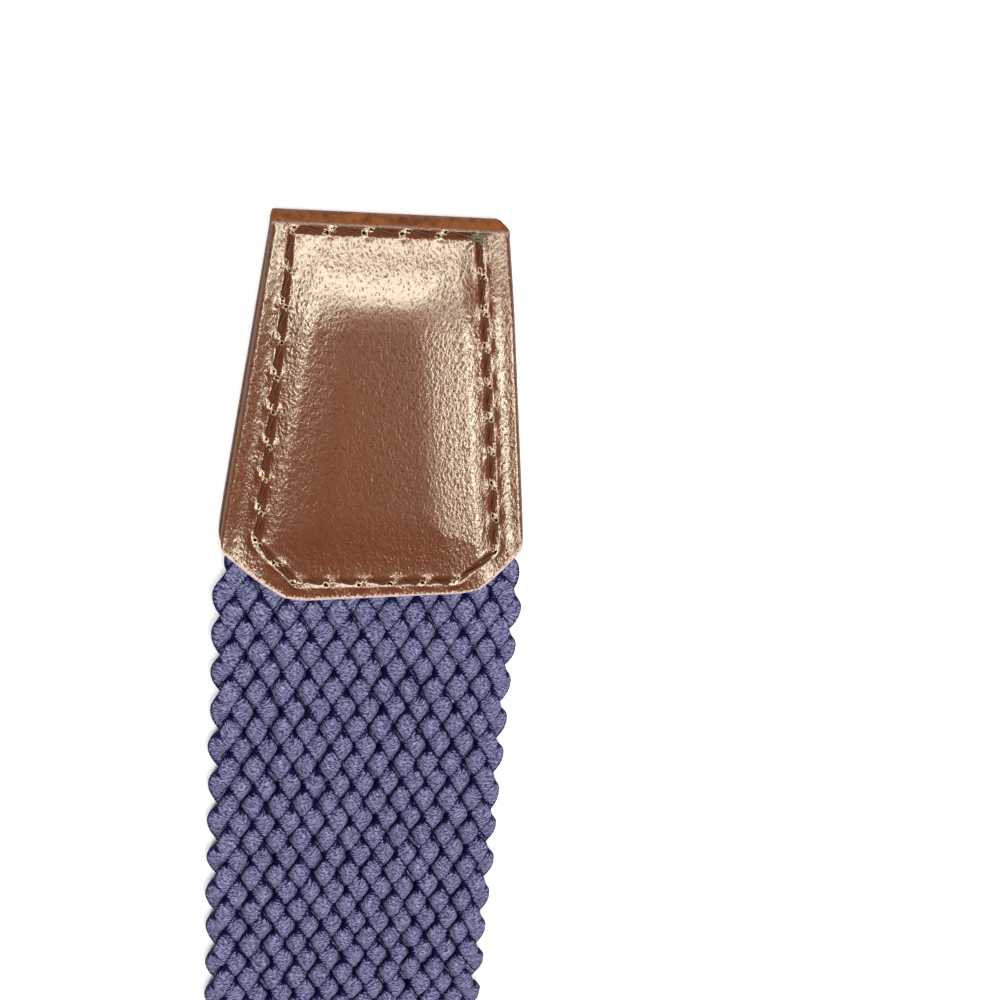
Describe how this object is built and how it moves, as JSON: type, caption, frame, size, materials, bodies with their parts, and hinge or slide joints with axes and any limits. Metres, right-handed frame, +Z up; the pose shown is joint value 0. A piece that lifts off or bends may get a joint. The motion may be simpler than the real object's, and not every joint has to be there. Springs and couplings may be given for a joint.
{
  "type": "braided belt",
  "caption": "Flat braided stretch belt, laid out straight, with a folded leather tab at its tip and a plain pronged frame buckle.",
  "frame": {"origin": "on the ground under the middle of the belt's box", "axes": "+X along the belt from the buckle to the tip, +Y across it, +Z up"},
  "size_m": [1.0552, 0.0472, 0.0071],
  "materials": {
    "braid": "matt ribbed cords",
    "tab_leather": "glossy, fine grain",
    "buckle_metal": "satin nickel"
  },
  "bodies": {
    "root": {"braid_band": "braid", "tip_leather": "tab_leather", "buckle_leather": "tab_leather", "buckle": "buckle_metal"}
  },
  "joints": []
}
